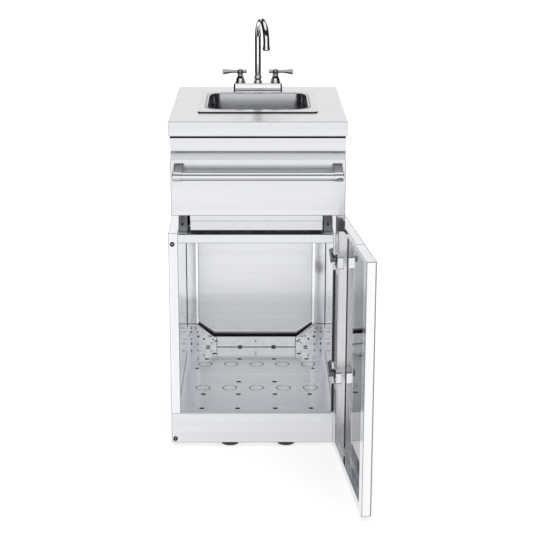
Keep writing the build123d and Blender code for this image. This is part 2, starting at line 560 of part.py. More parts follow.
def door():
    l, r, b, t = DOOR_LEFT, DOOR_RIGHT, DOOR_BOTTOM, DOOR_TOP
    skin_back = DOOR_OUT + SHEET
    face = DOOR_IN - SHEET
    add("door_skin", swing(block(l, r, DOOR_OUT, skin_back, b, t)))

    hinge_rail = block(r - SHEET, r, skin_back, DOOR_IN, b, t)
    hinge_rail += block(r - SIDE_FLANGE - 2, r - SHEET, face, DOOR_IN, b + SHEET, t - SHEET)
    for z in HINGE_Z:
        hinge_rail -= block(CUP_X0 - 1, CUP_X1 + 1, face - 1, DOOR_IN + 1, z - CUP_HALF - 1, z + CUP_HALF + 1)
    add("door_hinge_rail", swing(hinge_rail))
    free_rail = block(l, l + SHEET, skin_back, DOOR_IN, b, t)
    free_rail += block(l + SHEET, l + SIDE_FLANGE, face, DOOR_IN, b + SHEET, t - SHEET)
    add("door_free_rail", swing(free_rail))
    x0, x1 = l + SHEET, r - SHEET
    f0, f1 = l + SIDE_FLANGE, r - SIDE_FLANGE - 2
    top = block(x0, x1, skin_back, DOOR_IN, t - SHEET, t) + block(f0, f1, face, DOOR_IN, t - 12, t - SHEET)
    top += block(-78, r - 4, DOOR_OUT + 1.5, DOOR_IN - 2.5, t, t + 1)
    add("door_top_rail", swing(top))
    bottom = block(x0, x1, skin_back, DOOR_IN, b, b + SHEET) + block(f0, f1, face, DOOR_IN, b + SHEET, b + 20)
    add("door_bottom_rail", swing(bottom))

    cups, pins, arms, screws = [], [], [], []
    px, py = PIVOT
    for z in HINGE_Z:
        lo, hi = z - CUP_HALF, z + CUP_HALF
        cup = block(CUP_X0 - 1, CUP_X1 + 1, DOOR_IN - CUP_DEPTH - 1, DOOR_IN, lo - 1, hi + 1)
        cup = fillet(cup.edges().filter_by(Axis.Y), 5)
        cup -= block(CUP_X0, CUP_X1, DOOR_IN - CUP_DEPTH, DOOR_IN + 1, lo, hi)
        ears = block(CUP_X0 - 4, CUP_X1 + 1, DOOR_IN, DOOR_IN + 1, z - 30, z + 30)
        ears -= block(CUP_X0, CUP_X1, DOOR_IN - 1, DOOR_IN + 2, lo, hi)
        cup += ears
        cups.append(swing(cup))
        pins.append(swing(rod(px, py, lo, hi, PIN_R)))
        for dz in (-24, 24):
            screws.append(swing(rod_y(200, DOOR_IN + 1, DOOR_IN + 2.4, z + dz, 3.6)))
        liner = CAB_X + LINER_HALF
        knuckle = rod(px, py, z - 6, z + 6, 2.7)
        arm = knuckle + block(191, px, py - 1.2, py + 1.2, z - 6, z + 6)
        arm += block(191, 196, py - 1.2, 96, z - 7, z + 7)
        arm -= rod(px, py, z - 8, z + 8, PIN_R + RUNNING)
        base = block(196, liner, 48, 100, z - 9, z + 9)
        base += block(liner - 3, liner, 56, 92, z - 30, z + 30)
        arms.append(arm + base)
        for dz in (-22, 22):
            screws.append(rod_x(liner - 4.6, liner - 3, 74, z + dz, 3.6))
    add("hinge_cups", group(cups))
    add("hinge_pins", group(pins))
    add("hinge_arms", group(arms))
    add("door_hinge_screws", group([s for k, s in enumerate(screws) if k % 4 < 2]))
    add("arm_screws", group([s for k, s in enumerate(screws) if k % 4 > 1]))


# ---------------------------------------------------------------- build and export
def export_all():
    boxes = [shape.bounding_box() for shape in parts.values()]
    low_x = min(b.min.X for b in boxes)
    high_x = max(b.max.X for b in boxes)
    low_y = min(b.min.Y for b in boxes)
    high_y = max(b.max.Y for b in boxes)
    low_z = min(b.min.Z for b in boxes)
    shift = Pos(-(low_x + high_x) / 2, -(low_y + high_y) / 2, -low_z)
    print("origin moved by", tuple(round(v, 4) for v in shift.position))
    os.makedirs("parts", exist_ok=True)
    for name, shape in parts.items():
        solids = [shift * solid for solid in shape.solids()]
        export_step(solids[0] if len(solids) == 1 else Compound(solids), f"parts/{name}.step")


worktop()
drain(sink_bowl())
faucet_base()
lever(-1, "left_lever")
lever(1, "right_lever")
spout()
housing()
cabinet()
drawer()
door()
export_all()
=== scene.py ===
"""Looks, camera and light for the freestanding stainless handwash sink."""
import math

import bmesh
import bpy
from mathutils import Matrix, Vector

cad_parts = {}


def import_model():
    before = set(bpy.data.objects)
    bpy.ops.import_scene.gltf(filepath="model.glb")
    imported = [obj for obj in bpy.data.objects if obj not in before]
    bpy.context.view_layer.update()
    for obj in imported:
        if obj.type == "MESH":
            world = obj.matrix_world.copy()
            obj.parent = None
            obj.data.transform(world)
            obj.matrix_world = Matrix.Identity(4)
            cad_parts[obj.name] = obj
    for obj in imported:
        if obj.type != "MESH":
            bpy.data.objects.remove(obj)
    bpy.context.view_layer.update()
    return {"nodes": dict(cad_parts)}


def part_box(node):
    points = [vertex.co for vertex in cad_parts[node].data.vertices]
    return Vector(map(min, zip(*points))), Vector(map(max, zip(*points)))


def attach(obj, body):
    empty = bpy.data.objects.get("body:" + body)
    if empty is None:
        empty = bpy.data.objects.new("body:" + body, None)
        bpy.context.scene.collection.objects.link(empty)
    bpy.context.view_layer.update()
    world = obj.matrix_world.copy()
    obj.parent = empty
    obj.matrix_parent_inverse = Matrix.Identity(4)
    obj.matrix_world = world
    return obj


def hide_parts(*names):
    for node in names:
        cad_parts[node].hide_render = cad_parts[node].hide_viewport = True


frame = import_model()
nodes = frame["nodes"]
scene = bpy.context.scene

# ---------------------------------------------------------------- reference points, all from the frame
TOP_LO, TOP_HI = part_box("worktop")
TOP_FRONT = Vector(((TOP_LO.x + TOP_HI.x) / 2, TOP_LO.y, TOP_HI.z))

MM = 0.001
X, Y, Z = Vector((1, 0, 0)), Vector((0, 1, 0)), Vector((0, 0, 1))
DOOR_TURN = math.radians(96)  # how far the door stands open in the photo
QUARTER = (15, 30, 45, 60, 75, 90)  # degrees, the steps of a rolled edge

# ---------------------------------------------------------------- painted shade laid over the steel, and the grain's noise scales
EDGE_PAINTED_SHADE = (0.10, 0.10, 0.11)
PAINTED_BAND_SHADE = (0.08, 0.08, 0.085)
BAND_EDGE = 0.0004
GRAIN_LINES, GRAIN_STREAKS, GRAIN_SWELL = 900, 45, 6  # noise scales, fine to broad


# ---------------------------------------------------------------- node helpers for materials
def new_material(name, colour, metallic, roughness):
    """A Principled material; returns it with its node tree and shader."""
    mat = bpy.data.materials.new(name)
    mat.use_nodes = True
    tree = mat.node_tree
    shader = tree.nodes["Principled BSDF"]
    shader.inputs["Base Color"].default_value = (*colour, 1)
    shader.inputs["Metallic"].default_value = metallic
    shader.inputs["Roughness"].default_value = roughness
    return mat, tree, shader


def noise(tree, scale, stretch=(1, 1, 1), detail=4.0, offset=(0, 0, 0)):
    """Noise in the object's own coordinates, stretched along the small components of stretch."""
    coords = tree.nodes.new("ShaderNodeTexCoord")
    mapping = tree.nodes.new("ShaderNodeMapping")
    mapping.inputs["Scale"].default_value = stretch
    mapping.inputs["Location"].default_value = offset
    tex = tree.nodes.new("ShaderNodeTexNoise")
    tex.inputs["Scale"].default_value = scale
    tex.inputs["Detail"].default_value = detail
    tree.links.new(coords.outputs["Object"], mapping.inputs["Vector"])
    tree.links.new(mapping.outputs["Vector"], tex.inputs["Vector"])
    return tex.outputs["Fac"]


def ramp(tree, value, low, high, low_out, high_out):
    """Maps value linearly from low..high to low_out..high_out, clamped."""
    node = tree.nodes.new("ShaderNodeMapRange")
    node.inputs["From Min"].default_value = low
    node.inputs["From Max"].default_value = high
    node.inputs["To Min"].default_value = low_out
    node.inputs["To Max"].default_value = high_out
    tree.links.new(value, node.inputs["Value"])
    return node.outputs["Result"]


def tint(tree, shader, value, dark, light):
    """Colours the surface between dark and light by value."""
    mix = tree.nodes.new("ShaderNodeMix")
    mix.data_type = "RGBA"
    mix.inputs["A"].default_value = (*dark, 1)
    mix.inputs["B"].default_value = (*light, 1)
    tree.links.new(value, mix.inputs["Factor"])
    tree.links.new(mix.outputs["Result"], shader.inputs["Base Color"])


def bump(tree, shader, height, distance, strength=1.0):
    """Raises the surface by height, at most by distance."""
    node = tree.nodes.new("ShaderNodeBump")
    node.inputs["Distance"].default_value = distance
    node.inputs["Strength"].default_value = strength
    tree.links.new(height, node.inputs["Height"])
    tree.links.new(node.outputs["Normal"], shader.inputs["Normal"])


def over(tree, shader, value, colour):
    """Lays a colour over the base colour by value."""
    socket = shader.inputs["Base Color"]
    mix = tree.nodes.new("ShaderNodeMix")
    mix.data_type = "RGBA"
    if socket.links:
        tree.links.new(socket.links[0].from_socket, mix.inputs["A"])
    else:
        mix.inputs["A"].default_value = socket.default_value
    mix.inputs["B"].default_value = (*colour, 1)
    tree.links.new(value, mix.inputs["Factor"])
    tree.links.new(mix.outputs["Result"], socket)


def mixed(tree, operation, a, b):
    """A Math node on two values, which may be sockets or numbers."""
    node = tree.nodes.new("ShaderNodeMath")
    node.operation = operation
    for socket, value in zip(node.inputs, (a, b)):
        if isinstance(value, (int, float)):
            socket.default_value = value
        else:
            tree.links.new(value, socket)
    return node.outputs["Value"]


def local_bounds(name, turn):
    """A CAD node's box in axes turned about Z."""
    back = Matrix.Rotation(-turn, 4, "Z")
    points = [back @ vertex.co for vertex in nodes[name].data.vertices]
    low = [min(point[i] for point in points) for i in range(3)]
    high = [max(point[i] for point in points) for i in range(3)]
    return low, high


def painted_edge_shade(tree, shader, name, width, strength, turn=0.0):
    """Painted shade along the edges of a sheet panel's box, where it is near two of its faces at once; it
    stands in for the dark reflection in the rolled edges.
    """
    low, high = local_bounds(name, turn)
    coords = tree.nodes.new("ShaderNodeTexCoord")
    mapping = tree.nodes.new("ShaderNodeMapping")
    mapping.inputs["Rotation"].default_value = (0, 0, -turn)
    split = tree.nodes.new("ShaderNodeSeparateXYZ")
    tree.links.new(coords.outputs["Object"], mapping.inputs["Vector"])
    tree.links.new(mapping.outputs["Vector"], split.inputs["Vector"])
    total = -1.0
    for axis, a, b in zip("XYZ", low, high):
        place = split.outputs[axis]
        from_low, from_high = mixed(tree, "SUBTRACT", place, a), mixed(tree, "SUBTRACT", b, place)
        near = mixed(tree, "MINIMUM", from_low, from_high)
        total = mixed(tree, "ADD", ramp(tree, near, width * 0.5, width, 1.0, 0.0), total)
    over(tree, shader, ramp(tree, total, 0.0, 1.0, 0.0, strength), EDGE_PAINTED_SHADE)


GRAIN = {"x": (0.012, 1, 1), "y": (1, 0.012, 1), "z": (1, 1, 0.012)}


def brushed(name, colour, roughness, grain="x", spread=0.05, wave=0.00012):
    """Brushed stainless: fine lines along one axis, faint broad streaks and a little unevenness."""
    mat, tree, shader = new_material(name, colour, 1.0, roughness)
    lines = noise(tree, GRAIN_LINES, GRAIN[grain], 3)
    rough = ramp(tree, lines, 0.3, 0.7, roughness - spread, roughness + spread)
    tree.links.new(rough, shader.inputs["Roughness"])
    streaks = noise(tree, GRAIN_STREAKS, GRAIN[grain], 2, (3, 1, 2))
    dark = tuple(c * 0.94 for c in colour)
    tint(tree, shader, ramp(tree, streaks, 0.3, 0.7, 0, 1), dark, colour)
    bump(tree, shader, noise(tree, GRAIN_SWELL, (1, 1, 1), 1, (5, 2, 1)), wave * 10, 0.5)
    return mat


def brushed_panel(node, colour, roughness, grain, width=0.0016, strength=0.8, turn=0.0):
    """Brushed stainless with painted shade along the edges of one panel."""
    mat = brushed("steel_" + node, colour, roughness, grain)
    tree = mat.node_tree
    painted_edge_shade(tree, tree.nodes["Principled BSDF"], node, width, strength, turn)
    return mat


def painted_depth_shade(name, dark, light, roughness):
    """Brushed steel with painted shade: dark where the mesh's depth attribute is low and clear at depth 1.
    """
    mat = brushed(name, light, roughness, "x")
    tree = mat.node_tree
    depth = tree.nodes.new("ShaderNodeAttribute")
    depth.attribute_name = "depth"
    shade = ramp(tree, depth.outputs["Fac"], 0.35, 1.0, 1.0, 0.0)
    over(tree, tree.nodes["Principled BSDF"], shade, dark)
    return mat


def painted_shade_band(mat, low, high, at_low, at_high):
    """Painted shade: darkens a material between two heights, by at_low to at_high."""
    tree = mat.node_tree
    split = tree.nodes.new("ShaderNodeSeparateXYZ")
    coords = tree.nodes.new("ShaderNodeTexCoord")
    tree.links.new(coords.outputs["Object"], split.inputs["Vector"])
    height = split.outputs["Z"]
    inside = mixed(tree, "MULTIPLY", ramp(tree, height, high, high + BAND_EDGE, 1.0, 0.0),
                   ramp(tree, height, low - BAND_EDGE, low, 0.0, 1.0))
    shade = mixed(tree, "MULTIPLY", ramp(tree, height, low, high, at_low, at_high), inside)
    over(tree, tree.nodes["Principled BSDF"], shade, PAINTED_BAND_SHADE)


def polished(name, colour, roughness):
    """Plated or polished metal with faint uneven marks."""
    mat, tree, shader = new_material(name, colour, 1.0, roughness)
    marks = noise(tree, 60, (1, 1, 1), 5)
    tree.links.new(ramp(tree, marks, 0.4, 0.8, roughness, roughness + 0.03), shader.inputs["Roughness"])
    return mat


def plastic(name, colour, roughness, grain_size=1800):
    """Plastic or rubber with a fine grain."""
    mat, tree, shader = new_material(name, colour, 0.0, roughness)
    fine = noise(tree, grain_size, (1, 1, 1), 2)
    tint(tree, shader, fine, tuple(c * 0.85 for c in colour), colour)
    bump(tree, shader, fine, 0.0001, 0.4)
    return mat


STEEL = (0.725, 0.738, 0.762)
MATERIALS = {
    "front": brushed("steel_front", STEEL, 0.20, "x"),
    "upright": brushed("steel_upright", STEEL, 0.16, "z"),
    "inside": brushed("steel_inside", (0.77, 0.785, 0.81), 0.10, "y", 0.03),
    # bowl and rolled edge: painted shade from the depth attribute; the bowl's steel is also a darker copy,
    # painted shade
    "bowl": painted_depth_shade("steel_bowl", (0.04, 0.04, 0.045), (0.56, 0.57, 0.59), 0.20),
    # painted shadow: near-black steel for the rail behind the gap over the drawer, so the gap reads dark
    "painted_shadow_steel": brushed("steel_shadowed", (0.045, 0.045, 0.05), 0.4, "x"),
    # painted reflection: a dark and a bright copy of the door pan's mirror steel
    "painted_dark_mirror": brushed("steel_dark_mirror", (0.27, 0.275, 0.29), 0.05, "z", 0.02),
    "painted_bright_mirror": brushed("steel_bright_mirror", (0.88, 0.885, 0.90), 0.06, "z", 0.02),
    "bracket": brushed("steel_bracket", (0.42, 0.43, 0.45), 0.35, "z"),
    "roll": painted_depth_shade("steel_rolled_edge", (0.02, 0.02, 0.025), (0.92, 0.925, 0.93), 0.35),
    "return": polished("bright_return", (0.97, 0.975, 0.98), 0.12),
    # painted shade: the dark block on the door's top edge
    "cap": plastic("block_painted_shade", (0.045, 0.045, 0.05), 0.4),
    # near-black rivet heads: real rivets, their dark finish painted shade for the holes they sit in
    "rivet": polished("dark_rivet", (0.05, 0.05, 0.055), 0.35),
    "zinc": polished("zinc_plate", (0.62, 0.64, 0.66), 0.3),
    "nickel": polished("nickel_plate", (0.11, 0.11, 0.115), 0.12),
    "cup": polished("cup_plate", (0.80, 0.81, 0.82), 0.14),
    "strainer": polished("strainer_steel", (0.6, 0.6, 0.62), 0.18),
    "chrome": polished("chrome_plate", (0.86, 0.87, 0.88), 0.015),
    "handle": polished("satin_handle", (0.66, 0.67, 0.69), 0.22),
    "bar": polished("bar_polish", (0.74, 0.75, 0.76), 0.02),
    "post": polished("post_satin", (0.52, 0.53, 0.55), 0.32),
    "paddle": polished("lever_polish", (0.42, 0.43, 0.45), 0.12),
    "brass": polished("brass", (0.72, 0.55, 0.27), 0.25),
    "grey_plastic": plastic("grey_plastic", (0.55, 0.55, 0.53), 0.5),
    "rubber": plastic("rubber", (0.02, 0.02, 0.022), 0.6),
    "foot": plastic("foot_plastic", (0.05, 0.05, 0.055), 0.45),
}

# material: CAD nodes that wear it
FINISH = {
    "bowl": ["sink_bowl"],
    "front": ["drawer_backing", "housing_tray", "rear_cover", "housing_rear_panel", "rear_spacers"],
    "upright": ["housing_left_panel", "housing_right_panel", "cutout_flange"],
    "painted_shadow_steel": ["housing_front_rail"],
    "bracket": ["front_brackets"],
    "inside": ["side_liners", "inner_back_panel", "corner_gussets"],
    "zinc": ["base_channels", "drawer_box", "slide_outers", "slide_middles", "slide_inners", "drawer_screws",
             "hinge_pins", "door_hinge_screws", "arm_screws", "foot_locknuts"],
    "nickel": ["hinge_arms"],
    "cup": ["hinge_cups"],
    "strainer": ["strainer_body", "strainer_basket", "drain_tailpiece"],
    "chrome": ["faucet_deck_plate", "left_handle_bell", "right_handle_bell", "left_lever", "right_lever",
               "spout_collar", "spout", "aerator"],
    "handle": ["handle_bar", "handle_end_caps", "handle_posts"],
    "brass": ["supply_shanks"],
    "grey_plastic": ["shank_nuts", "drain_nuts"],
    "rubber": ["deck_gasket", "strainer_gasket", "door_bumpers"],
    "foot": ["levelling_feet"],
}


def shade_smooth(obj, degrees=35):
    """Smooth shading with the sheet's folds kept sharp."""
    mesh = obj.data
    mesh.shade_smooth()
    mesh.set_sharp_from_angle(angle=math.radians(degrees))


INSIDE = (0.72, 0.735, 0.765)
GROOVE_DEPTH = (0.055, 0.035)  # the drawer groove's foot and top, below the front's top

# node: colour, roughness, grain axis, width in metres and strength of the painted edge shade, turn
PANELS = {
    "worktop": (STEEL, 0.27, "x", 0.0016, 0.5, 0),
    "drawer_front": (STEEL, 0.20, "x", 0.0018, 0.8, 0),
    # a darker copy of the steel: painted shade
    "apron": (tuple(c * 0.93 for c in STEEL), 0.20, "x", 0.0015, 0.8, 0),
    "top_rail": (STEEL, 0.20, "x", 0.0016, 0.8, 0),
    "kick_panel": (STEEL, 0.20, "x", 0.0016, 0.7, 0),
    # a lighter copy of the steel: painted light
    "left_side_panel": (tuple(c * 1.12 for c in STEEL), 0.18, "z", 0.0016, 0.8, 0),
    "right_side_panel": (STEEL, 0.18, "z", 0.0016, 0.8, 0),
    "floor_panel": ((0.75, 0.76, 0.785), 0.20, "x", 0.0016, 0.7, 0),
    "door_skin": (STEEL, 0.16, "z", 0.0018, 0.8, DOOR_TURN),
    # brighter copies of the steel for the door's rails: painted light
    "door_hinge_rail": ((0.97, 0.975, 0.98), 0.34, "z", 0.0018, 0.9, DOOR_TURN),
    "door_free_rail": ((0.86, 0.87, 0.88), 0.12, "z", 0.0018, 0.9, DOOR_TURN),
    "door_top_rail": (INSIDE, 0.10, "x", 0.0014, 0.8, DOOR_TURN),
    "door_bottom_rail": (INSIDE, 0.10, "x", 0.0014, 0.8, DOOR_TURN),
}

# bevel width in metres: CAD nodes whose edges are rolled over by it
SHEET_EDGES = {
    0.0006: ["drawer_front", "door_skin", "door_hinge_rail", "door_free_rail", "door_top_rail",
             "door_bottom_rail", "kick_panel", "top_rail", "apron", "left_side_panel", "right_side_panel",
             "front_brackets"],
    0.0003: ["hinge_cups", "hinge_arms", "corner_gussets", "slide_outers", "slide_middles", "slide_inners",
             "levelling_feet", "foot_locknuts"],
}


def finish_cad_nodes():
    """Materials, shading and rolled edges for the CAD nodes."""
    for finish, names in FINISH.items():
        for name in names:
            obj = nodes[name]
            obj.data.materials.clear()
            obj.data.materials.append(MATERIALS[finish])
            shade_smooth(obj)
    for name, look in PANELS.items():
        obj = nodes[name]
        obj.data.materials.clear()
        obj.data.materials.append(brushed_panel(name, *look))
        shade_smooth(obj)
    front_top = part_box("drawer_front")[1].z
    groove_low, groove_high = (front_top - depth for depth in GROOVE_DEPTH)
    # painted shade in the drawer front's groove, darkest at its top under the lip
    painted_shade_band(nodes["drawer_front"].data.materials[0], groove_low, groove_high, 0.10, 0.30)
    # painted shade on the towel bar's lower half, darkest at its underside
    bar_low, bar_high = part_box("handle_bar")
    painted_shade_band(MATERIALS["bar"], bar_low.z, (bar_low.z + bar_high.z) / 2 - 0.0015, 0.7, 0.25)
    for width, names in SHEET_EDGES.items():
        for name in names:
            round_edges(nodes[name], width)


# ---------------------------------------------------------------- mesh helpers
def round_edges(obj, width, segments=2, degrees=40):
    """Rolls the folded sheet's edges over, as a Bevel modifier."""
    bevel = obj.modifiers.new("rounded edges", "BEVEL")
    bevel.width = width
    bevel.segments = segments
    bevel.limit_method = "ANGLE"
    bevel.angle_limit = math.radians(degrees)
    bevel.use_clamp_overlap = True
    bevel.harden_normals = True


def piece(name, meshes, finish, body, replaced=(), degrees=32):
    """One object from several (points, faces) meshes, riding on a CAD body."""
    points, faces = [], []
    for more_points, more_faces in meshes:
        start = len(points)
        points += more_points
        faces += [tuple(start + i for i in face) for face in more_faces]
    mesh = bpy.data.meshes.new(name)
    mesh.from_pydata([tuple(p) for p in points], [], faces)
    work = bmesh.new()
    work.from_mesh(mesh)
    bmesh.ops.recalc_face_normals(work, faces=work.faces)
    work.to_mesh(mesh)
    work.free()
    mesh.materials.append(MATERIALS[finish])
    obj = bpy.data.objects.new(name, mesh)
    scene.collection.objects.link(obj)
    shade_smooth(obj, degrees)
    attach(obj, body)
    if replaced:
        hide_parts(*replaced)
    return obj


def skin(rings, cap_start=True, cap_end=True, closed=False):
    """Quads between rings of equal length; the ends are capped, or joined to each other if closed."""
    count = len(rings[0])
    points = [point for ring in rings for point in ring]
    faces = []
    pairs = [(k, k + 1) for k in range(len(rings) - 1)]
    if closed:
        pairs.append((len(rings) - 1, 0))
    for k, after in pairs:
        for i in range(count):
            j = (i + 1) % count
            faces.append((k * count + i, k * count + j, after * count + j, after * count + i))
    if cap_start and not closed:
        faces.append(tuple(reversed(range(count))))
    if cap_end and not closed:
        last = (len(rings) - 1) * count
        faces.append(tuple(last + i for i in range(count)))
    return points, faces


def circle(centre, u, v, radius, count=48):
    """A circle's points, in the plane of u and v."""
    steps = [math.tau * i / count for i in range(count)]
    return [centre + u * (radius * math.cos(t)) + v * (radius * math.sin(t)) for t in steps]


def turned(profile, centre, axis="z", count=64, closed=False):
    """Turns (radius, distance along the axis) points about an axis through centre."""
    u, v, w = {"z": (Vector((1, 0, 0)), Vector((0, 1, 0)), Vector((0, 0, 1))),
               "x": (Vector((0, 1, 0)), Vector((0, 0, 1)), Vector((1, 0, 0)))}[axis]
    rings = [circle(centre + w * along, u, v, max(radius, 1e-5), count) for radius, along in profile]
    return skin(rings, closed=closed)


def arc(centre_r, centre_z, radius, start, end, steps=6):
    """Profile points on an arc, angles in degrees from the outward radius."""
    angles = [math.radians(start + (end - start) * k / steps) for k in range(steps + 1)]
    return [(centre_r + radius * math.cos(t), centre_z + radius * math.sin(t)) for t in angles]


def smooth_profile(knots, steps=5):
    """Catmull-Rom points through (radius, height) knots."""
    out = []
    padded = [knots[0]] + list(knots) + [knots[-1]]
    for a, b, c, d in zip(padded, padded[1:], padded[2:], padded[3:]):
        for k in range(steps):
            t = k / steps
            out.append(tuple(0.5 * (2 * b[i] + (c[i] - a[i]) * t
                                    + (2 * a[i] - 5 * b[i] + 4 * c[i] - d[i]) * t * t
                                    + (3 * b[i] - a[i] - 3 * c[i] + d[i]) * t ** 3) for i in (0, 1)))
    return out + [knots[-1]]


def rounded_box_ring(centre, u, v, width, height, radius, per_corner=6):
    """A rounded rectangle's points, in the plane of u and v."""
    half_w, half_h = width / 2 - radius, height / 2 - radius
    ring = []
    for quadrant, (sx, sy) in enumerate(((1, 1), (-1, 1), (-1, -1), (1, -1))):
        for k in range(per_corner + 1):
            t = math.radians(90 * quadrant + 90 * k / per_corner)
            x = sx * half_w + radius * math.cos(t)
            y = sy * half_h + radius * math.sin(t)
            ring.append(centre + u * x + v * y)
    return ring


def turned_mm(profile, centre, count=64):
    """Turns a profile given in millimetres about the vertical through centre."""
    return turned([(r * MM, z * MM) for r, z in profile], centre, count=count)


def middle(node):
    """The middle of a CAD node's box."""
    low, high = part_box(node)
    return (low + high) / 2


def foot_of(node):
    """The middle of the underside of a CAD node's box."""
    low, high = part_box(node)
    return Vector(((low.x + high.x) / 2, (low.y + high.y) / 2, low.z))


def door_axes():
    """The door skin's box in the door's own axes, and the turn from those to the frame's."""
    low, high = local_bounds("door_skin", DOOR_TURN)
    return low, high, Matrix.Rotation(DOOR_TURN, 4, "Z")


# ---------------------------------------------------------------- faucet, with profiles in millimetres
def deck_plate():
    """The plate under the faucet, its upper edge rolled over."""
    low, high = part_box("faucet_deck_plate")
    centre = (low + high) / 2
    width, depth = high.x - low.x, high.y - low.y
    height = (high.z - low.z) / MM
    taper, roll = 0.9, 3.2
    corner, least_corner = 7, 1.5
    steps = [(0.4, 0.0), (0, 0.5), (taper, height - roll)]
    for angle in QUARTER:
        t = math.radians(angle)
        steps.append((taper + roll * (1 - math.cos(t)), height - roll + roll * math.sin(t)))
    steps.append((5.0, height))
    rings = []
    for inset, z in steps:
        at = Vector((centre.x, centre.y, low.z + z * MM))
        radius = max(corner - inset, least_corner) * MM
        rings.append(rounded_box_ring(at, X, Y, width - 2 * inset * MM, depth - 2 * inset * MM, radius, 10))
    piece("deck_plate_body", [skin(rings)], "chrome", "unit", ["faucet_deck_plate"])


def handle_bells():
    """Bell-shaped bases under the levers: a foot flange, a flared wall and a bead at the top."""
    knots = [(12.6, 4.2), (12.4, 7.5), (11.2, 12.0), (9.0, 16.5), (7.6, 19.5), (7.5, 21.0)]
    for side in ("left", "right"):
        node = side + "_handle_bell"
        profile = [(0, 0.05), (13.9, 0.05)] + arc(13.9, 0.9, 0.8, -90, 0, 3) + arc(13.6, 2.9, 1.1, 0, 90, 4)
        profile += [(12.9, 4.0)] + smooth_profile(knots)
        profile += arc(7.9, 22.6, 1.3, -80, 80, 6) + [(7.6, 24.4), (0, 24.4)]
        piece(node + "_body", [turned_mm(profile, foot_of(node))], "chrome", "unit", [node])


def levers():
    """Flat paddles that flare towards the tip, with a short tail on the other side of the hub."""
    for side, sign in (("left", -1), ("right", 1)):
        node = side + "_lever"
        bell_low, bell_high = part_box(side + "_handle_bell")
        low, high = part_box(node)
        x, y = (bell_low.x + bell_high.x) / 2, (bell_low.y + bell_high.y) / 2
        z0 = bell_high.z + 0.4 * MM
        top = high.z - z0
        hub = [(0, 0), (8.0, 0)] + arc(8.3, 0.9, 0.8, -90, 0, 3) + [(9.4, 2.4), (9.6, 5), (9.5, 8.6)]
        hub += arc(7.6, 9.2, 1.9, 0, 80, 5) + [(4.2, top / MM - 0.6), (3.4, top / MM), (0, top / MM)]
        meshes = [turned_mm(hub, Vector((x, y, z0)), 48)]
        mid = z0 + 6.4 * MM
        reach = (x - low.x if sign < 0 else high.x - x) / MM
        # distance from the hub, width, height and lift of each section
        paddle = [(3, 12, 9.5, 0), (12, 11, 8.6, 0.2), (20, 11, 8.0, 0.3), (28, 12.5, 9.4, 0.2),
                  (36, 15.5, 12.0, 0.0), (43, 17.5, 13.6, -0.4), (reach - 1.2, 18.2, 14.2, -0.6),
                  (reach - 0.2, 17, 13.2, -0.6)]
        tail = [(2, 12, 8, 0), (8, 11, 8.5, 0.2), (13, 11.5, 10, 0.4), (17.6, 12.5, 11.2, 0.5),
                (18.6, 11.6, 10.4, 0.5)]
        for towards, sections, corner in ((sign, paddle, 2.2), (-sign, tail, 2.4)):
            rings = []
            for along, wide, tall, lift in sections:
                at = Vector((x + towards * along * MM, y, mid + lift * MM))
                rings.append(rounded_box_ring(at, Y, Z, wide * MM, tall * MM, corner * MM, 5))
            meshes.append(skin(rings))
        piece(node + "_paddle", meshes, "paddle", side + "_handle", [node], 38)


def spout_parts():
    """The collar, the gooseneck tube that swivels in it, and the aerator at the tube's mouth."""
    foot = foot_of("spout_collar")
    profile = [(0, 0.05), (11.4, 0.05)] + arc(11.4, 0.8, 0.7, -90, 0, 3) + arc(11.0, 3.2, 1.0, 0, 80, 3)
    profile += smooth_profile([(10.4, 4.6), (10.2, 8), (10.4, 12.5)], 4) + arc(11.1, 14.6, 1.0, -80, 80, 5)
    profile += [(10.2, 17.0), (9.8, 19.2), (8.9, 19.9), (0, 19.9)]
    collar = turned_mm(profile, foot)
    piece("spout_collar_body", [collar], "chrome", "unit", ["spout_collar"])

    tip_low, tip_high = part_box("aerator")
    tip = Vector(((tip_low.x + tip_high.x) / 2, (tip_low.y + tip_high.y) / 2, tip_high.z))
    spout_low, spout_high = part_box("spout")
    ahead = Vector((tip.x - foot.x, tip.y - foot.y, 0))
    arch = ahead.length / 2
    ahead.normalize()
    radius, wall = 8.8 * MM, 1.2 * MM
    shoulder = spout_high.z - radius - arch
    centre = foot + ahead * arch
    heights = (spout_low.z, foot.z + 0.02, (foot.z + shoulder) / 2, shoulder)
    path = [(Vector((foot.x, foot.y, z)), Z) for z in heights]
    arch_steps = 48
    for k in range(1, arch_steps + 1):
        t = math.pi * k / arch_steps
        at = Vector((centre.x, centre.y, shoulder)) - ahead * (arch * math.cos(t)) + Z * (arch * math.sin(t))
        path.append((at, ahead * math.sin(t) + Z * math.cos(t)))
    path.append((Vector((tip.x, tip.y, tip.z)), -Z))
    across = Z.cross(ahead)
    rings = [circle(at, across, along.cross(across), radius, 48) for at, along in path]
    inside = [circle(at, across, along.cross(across), radius - wall, 48) for at, along in reversed(path)]
    piece("spout_tube", [skin(rings + inside, closed=True)], "chrome", "spout_swivel", ["spout"])

    length = (tip_high.z - tip_low.z) / MM
    profile = [(7.2, -0.2), (9.2, -0.2)] + arc(9.3, -1.0, 0.8, 80, 0, 3)
    profile += [(10.1, -3.6), (9.4, -4.2), (9.4, -5.6)] + arc(9.7, -6.6, 0.9, 70, 0, 3)
    profile += [(10.6, -10.8), (10.1, -12.2), (9.3, -length + 0.5), (8.2, -length), (7.6, -length + 0.4)]
    profile += [(7.4, -11.0), (0, -11.0)]
    nozzle = turned_mm(profile, tip, 72)
    piece("aerator_body", [nozzle], "chrome", "spout_swivel", ["aerator"])


